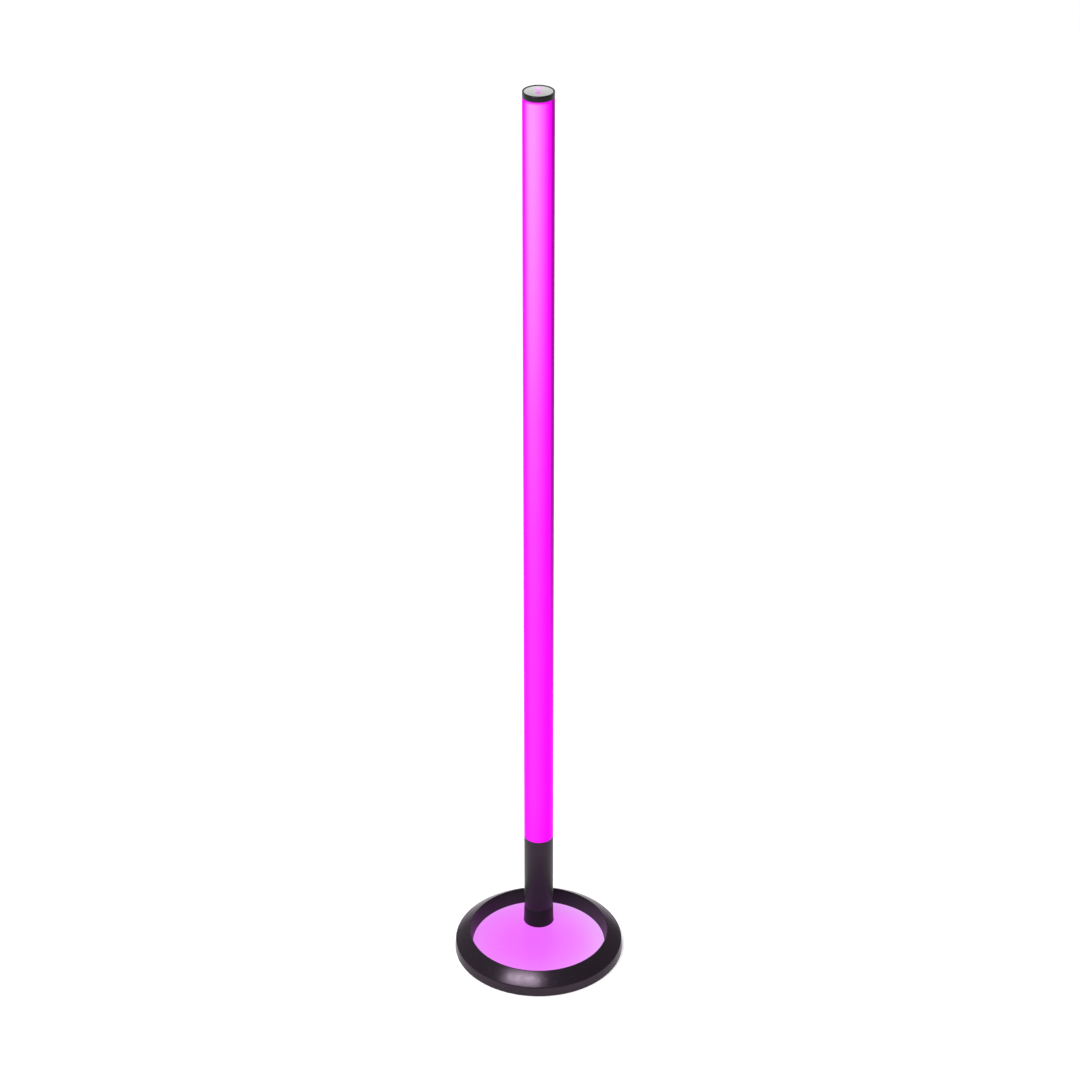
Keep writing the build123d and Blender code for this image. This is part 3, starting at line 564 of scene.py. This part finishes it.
shell = lathe([
    (outer, ring["bottom"], ring["edge"]),
    (shoulderR, ring["shoulder"], ring["shoulderRound"]),
    (crestR, ring["crest"], ring["crestRound"]),
    (lipR, lipZ, ring["edge"]),
    (lipR + ring["wall"], lipZ, ring["edge"]),
    (crestR + ring["insideCrest"][0], ring["crest"] - ring["insideCrest"][1], 0),
    (shoulderR - ring["insideShoulder"][0], ring["shoulder"] - ring["insideShoulder"][1], 0),
    (outer - ring["wall"], ring["bottom"], ring["edge"]),
], ring["steps"])
inletHole = drum(bmesh.new(), (0, outer, inletZ), ring["holeRadius"], ring["holeDepth"], backwards)
finishPiece("ringShell", cutBy(shell, inletHole), "base_ring", "base")
print("base ring made")


# lit floor of the base: a clear sheet with a round hole for the collar
floorSheet = {"edge": 0.15 * mm, "gap": 0.3 * mm, "steps": 160}
collarFoot = radius("pole_socket")
holeR = collarFoot + floorSheet["gap"]
sheet = lathe([
    (holeR, guideLow.z, 0), (guideR, guideLow.z, 0),
    (guideR, guideHigh.z, floorSheet["edge"]), (holeR, guideHigh.z, 0),
], floorSheet["steps"])
# the spun hole is centred on the sheet; its rim is moved back to stand round the collar
for vert in sheet.verts:
    if vert.co.xy.length < (guideR + collarFoot) / 2:
        vert.co.xy += Vector((poleX, poleY))
finishPiece("lightPanel", sheet, "light_guide", "base")
print("lit floor made")


# collar: the socket that the pole plugs into, a little wider at its foot, with a keyway in its bore
collar = {"bore": 15.2 * mm, "floor": 4.4 * mm, "edge": 0.35 * mm, "steps": 128,
          "keyWidth": 4.2 * mm, "keyDepth": 1.1 * mm, "keyOver": 2.0 * mm}
socketLow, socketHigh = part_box("pole_socket")
boreFloor = socketLow.z + collar["floor"]
keyMiddle = (poleX, poleY - collar["bore"], (boreFloor + socketHigh.z) / 2 + collar["keyOver"] / 2)
keySize = (collar["keyWidth"], 2 * collar["keyDepth"], socketHigh.z - boreFloor + collar["keyOver"])
socket = lathe([
    (0, socketLow.z, 0),
    (collarFoot, socketLow.z, 0),
    (tubeR, socketHigh.z, collar["edge"]),
    (collar["bore"], socketHigh.z, collar["edge"]),
    (collar["bore"], boreFloor, collar["edge"]),
    (0, boreFloor, 0),
], collar["steps"], (poleX, poleY))
keyway = block(bmesh.new(), keyMiddle, keySize)
finishPiece("collar", cutBy(socket, keyway), "pole_socket", "base", collarFinish)
print("collar made")


# sleeve: a drawn tube with two countersunk holes at the back
sleeve = {"wall": 1.6 * mm, "edge": 0.3 * mm, "steps": 128}
plugScrew = {"angles": (60, 120), "rise": 7.7 * mm, "shank": 1.25 * mm, "head": 2.2 * mm, "length": 4.4 * mm,
             "sink": 0.15 * mm}
sleeveLow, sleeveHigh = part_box("sleeve")
sleeveR = radius("sleeve")
sleeveIn = sleeveR - sleeve["wall"]
sleeveTube = lathe([
    (sleeveR, sleeveLow.z, sleeve["edge"]), (sleeveR, sleeveHigh.z, sleeve["edge"]),
    (sleeveIn, sleeveHigh.z, 0), (sleeveIn, sleeveLow.z, 0),
], sleeve["steps"], (poleX, poleY))


def inwards(angle, distance, height):
    # a seat on the pole's side whose Z points at the pole's middle
    turn = math.radians(angle)
    outward = Vector((math.cos(turn), math.sin(turn), 0))
    origin = Vector((poleX, poleY, height)) + outward * distance
    return Matrix.Translation(origin) @ (-outward).to_track_quat("Z", "Y").to_matrix().to_4x4()


screwHoles = bmesh.new()
plugScrewSeats = [inwards(angle, sleeveR - plugScrew["sink"], sleeveLow.z + plugScrew["rise"])
                  for angle in plugScrew["angles"]]
flare = plugScrew["head"] - plugScrew["shank"]
for seat in plugScrewSeats:
    bmesh.ops.create_cone(screwHoles, cap_ends=True, segments=mesher["seatSteps"],
                          radius1=plugScrew["head"] + flare, radius2=plugScrew["shank"],
                          depth=2 * flare, matrix=seat)
finishPiece("sleeveTube", cutBy(sleeveTube, screwHoles), "sleeve", "pole")
print("sleeve made")


# screws: countersunk heads with a cross recess; its sizes and the rim's rounding are shares of the
# head's radius, and the tip's rounding is a share of the shank's
screwShape = {"recessWidth": 0.16, "recessSpan": 0.62, "recessDepth": 0.55, "rim": 0.08, "tip": 0.2,
              "steps": 40}
baseScrew = {"count": 6, "circle": 100.2 * mm, "shank": 1.5 * mm, "head": 2.8 * mm, "length": 10.0 * mm}
socketScrew = {"count": 3, "circle": 10.0 * mm, "shank": 1.5 * mm, "head": 2.8 * mm, "length": 5.2 * mm}


def screws(name, node, body, seats, sizes):
    head, shank, length = sizes["head"], sizes["shank"], sizes["length"]
    outline = [(0, 0, 0), (head, 0, screwShape["rim"] * head), (shank, head - shank, 0),
               (shank, length, screwShape["tip"] * shank), (0, length, 0)]
    wide, deep = screwShape["recessSpan"], screwShape["recessWidth"]
    bm = bmesh.new()
    cuts = bmesh.new()
    for seat in seats:
        screw = lathe(outline, screwShape["steps"])
        screw.transform(seat)
        bm.from_mesh(meshOf("scratch", screw))
        for x, y in ((wide, deep), (deep, wide)):
            block(cuts, (0, 0, 0), (2 * x * head, 2 * y * head, 2 * screwShape["recessDepth"] * head), seat)
    finishPiece(name, cutBy(bm, cuts), node, body)


def circleOf(sizes, centre=(0, 0), start=0):
    # seats in the underside of the base, evenly round a circle
    turns = [math.radians(start) + fullTurn * i / sizes["count"] for i in range(sizes["count"])]
    return [Matrix.Translation((centre[0] + sizes["circle"] * math.cos(turn),
                                centre[1] + sizes["circle"] * math.sin(turn), plateBottom))
            for turn in turns]


screws("baseScrews", "base_screws", "base", circleOf(baseScrew), baseScrew)
screws("socketScrews", "socket_screws", "base", circleOf(socketScrew, (poleX, poleY), 90), socketScrew)
screws("plugScrews", "plug_screws", "pole", plugScrewSeats, plugScrew)
print("screws made")


# feet: rubber pads with a softened edge and two moulded grooves
feet = {"count": 6, "circle": 98.0 * mm, "radius": 6.0 * mm, "edge": 0.3 * mm, "steps": 56,
        "grooves": (2.2 * mm, 4.1 * mm), "grooveWidth": 0.45 * mm, "grooveDepth": 0.3 * mm,
        "grooveSide": 0.1 * mm}
outline = [(0, 0, 0)]
for groove in feet["grooves"]:
    side, far = feet["grooveSide"], groove + feet["grooveWidth"]
    outline += [(groove, 0, side), (groove + side, feet["grooveDepth"], 0),
                (far, feet["grooveDepth"], 0), (far + side, 0, side)]
outline += [(feet["radius"], 0, feet["edge"]), (feet["radius"], plateBottom, 0), (0, plateBottom, 0)]
pads = bmesh.new()
for i in range(feet["count"]):
    turn = fullTurn * (i + 0.5) / feet["count"]
    centre = (feet["circle"] * math.cos(turn), feet["circle"] * math.sin(turn))
    lathe(outline, feet["steps"], centre, pads)
finishPiece("footPads", pads, "rubber_feet", "base")
print("feet made")


# tube: opal wall with a softened top and bottom edge
tube = {"wall": 1.8 * mm, "edge": 0.35 * mm, "steps": 144}
tubeIn = tubeR - tube["wall"]
finishPiece("opalWall", lathe([
    (tubeR, tubeLow.z, tube["edge"]), (tubeR, tubeHigh.z, tube["edge"]),
    (tubeIn, tubeHigh.z, 0), (tubeIn, tubeLow.z, 0),
], tube["steps"], (poleX, poleY)), "diffuser_tube", "pole")
print("tube made")


# end cap: a rounded black ring with a recess for the plate and a skirt inside the tube
cap = {"round": 0.9 * mm, "inner": 0.25 * mm, "foot": 0.25 * mm, "skirtEdge": 0.3 * mm, "recess": 2.1 * mm,
       "gap": 0.1 * mm, "cavity": 14.4 * mm, "shelf": 7.7 * mm, "shelfThick": 2.0 * mm,
       "shelfWidth": 4.4 * mm, "skirtWall": 1.5 * mm, "steps": 144}
capLow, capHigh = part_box("end_cap")
recessR = radius("cap_plate") + cap["gap"]
recessZ = capHigh.z - cap["recess"]
shelfR = cap["cavity"] - cap["shelfWidth"]
shelfZ = capHigh.z - cap["shelf"]
underZ = shelfZ - cap["shelfThick"]
skirtR = tubeIn - cap["gap"]
skirtIn = skirtR - cap["skirtWall"]
finishPiece("capRing", lathe([
    (tubeR, tubeHigh.z, cap["foot"]), (tubeR, capHigh.z, cap["round"]),
    (recessR, capHigh.z, cap["inner"]), (recessR, recessZ, 0),
    (cap["cavity"], recessZ, 0), (cap["cavity"], shelfZ, 0),
    (shelfR, shelfZ, 0), (shelfR, underZ, 0),
    (skirtIn, underZ, 0), (skirtIn, capLow.z, 0),
    (skirtR, capLow.z, cap["skirtEdge"]), (skirtR, tubeHigh.z, 0),
], cap["steps"], (poleX, poleY)), "end_cap", "pole")

# plate: a thin turned disc, very slightly dished, with a hole for each key
plate = {"dish": 0.3 * mm, "edge": 0.25 * mm, "rings": 8, "steps": 144, "holeDepth": 10 * mm}
key = {"gap": 0.1 * mm, "flangeWidth": 1.1 * mm, "flangeHeight": 1.0 * mm, "flangeEdge": 0.2 * mm,
       "round": 0.5 * mm, "dish": 0.25 * mm, "dishWidth": 0.7, "dishFloor": 0.4, "dishLip": 0.1,
       "dishRound": 0.4 * mm, "steps": 72}
keyBodies = {"power_button": "power_key", "mode_button": "mode_key"}
plateLow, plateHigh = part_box("cap_plate")
plateR = radius("cap_plate")
dishing = []
for i in range(1, plate["rings"] + 1):
    share = 1 - i / (plate["rings"] + 1)
    dishing.append((plateR * share, plateHigh.z - plate["dish"] * (1 - share ** 2), 0))
disc = lathe([(0, plateLow.z, 0), (plateR, plateLow.z, 0), (plateR, plateHigh.z, plate["edge"]),
              *dishing, (0, plateHigh.z - plate["dish"], 0)], plate["steps"], (poleX, poleY))
keyHoles = bmesh.new()
for node in keyBodies:
    keyHoleR = radius(node) - key["flangeWidth"] + key["gap"]
    drum(keyHoles, (*middle(node).xy, plateHigh.z), keyHoleR, plate["holeDepth"])
finishPiece("capPlate", cutBy(disc, keyHoles), "cap_plate", "pole")
print("end cap made")


# keys: a flange under the plate and a dished, softly rounded top
for node, body in keyBodies.items():
    low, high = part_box(node)
    flangeR = radius(node)
    flangeZ = low.z + key["flangeHeight"]
    stemR = flangeR - key["flangeWidth"]
    dishR = stemR * key["dishWidth"]
    dishZ = high.z - key["dish"]
    finishPiece(node + "Lit", lathe([
        (0, low.z, 0), (flangeR, low.z, key["flangeEdge"]), (flangeR, flangeZ, key["flangeEdge"]),
        (stemR, flangeZ, 0), (stemR, high.z, key["round"]),
        (dishR, high.z - key["dishLip"] * key["dish"], key["dishRound"]),
        (key["dishFloor"] * dishR, dishZ, key["dishRound"]), (0, dishZ, 0),
    ], key["steps"], tuple(middle(node).xy)), node, body)
print("keys made")


# floor and lights
stage = {"size": 14.0, "glow": 0.33, "clouds": 3}
sky = {"horizon": 0.42, "zenith": 0.28, "from": 0.3, "to": 0.85, "lean": -0.35}  # lean: brighter on the left
softboxes = {
    "keyBox": {"place": (-0.80, -0.98, 3.0), "turn": (0, 0, -13), "size": (1.58, 0.40), "radiance": 36},
    "backBox": {"place": (0, 3.0, 3.6), "turn": (-12.5, 0, 0), "size": (6.0, 3.4), "radiance": 1.25},
}


def paper(name):
    # white paper that glows a little, for an even pale ground
    material, place, shader = newMaterial(name, {
        "Roughness": 0.8, "Specular IOR Level": 0.1,
        "Emission Color": rgba((1, 1, 1)), "Emission Strength": stage["glow"],
    })
    tone = place.noise(stage["clouds"]).rise(0.3, 0.7)
    feed(shader, colour=tone.mix((0.92, 0.92, 0.92), (0.94, 0.94, 0.94)))
    return material


def leaningSky(name):
    # a white sky, dimmer overhead and to the right
    world = bpy.data.worlds.new(name)
    world.use_nodes = True
    background = world.node_tree.nodes["Background"]
    background.inputs["Color"].default_value = rgba((1, 1, 1))
    direction = Wire(world.node_tree).node("ShaderNodeTexCoord", outlet="Generated")
    high = direction.axis("Z").rise(sky["from"], sky["to"])
    lean = 1 + direction.axis("X") * sky["lean"]
    strength = (sky["horizon"] + high * (sky["zenith"] - sky["horizon"])) * lean
    world.node_tree.links.new(strength.output, background.inputs["Strength"])
    return world


def softbox(name, place, turn, size, radiance):
    # shines downwards, then turned by degrees
    data = bpy.data.lights.new(name, "AREA")
    data.shape = "RECTANGLE"
    data.size, data.size_y = size
    data.energy = radiance * math.pi * size[0] * size[1]
    lamp = addObject(name, data)
    lamp.location = place
    lamp.rotation_euler = [math.radians(angle) for angle in turn]


floorMesh = bmesh.new()
bmesh.ops.create_grid(floorMesh, x_segments=2, y_segments=2, size=stage["size"] / 2)
floor = addObject("floor", meshOf("floor", floorMesh))
floor.data.materials.append(paper("paperSweep"))
bpy.context.scene.world = leaningSky("studio")
for name, box in softboxes.items():
    softbox(name, **box)
print("studio lit")
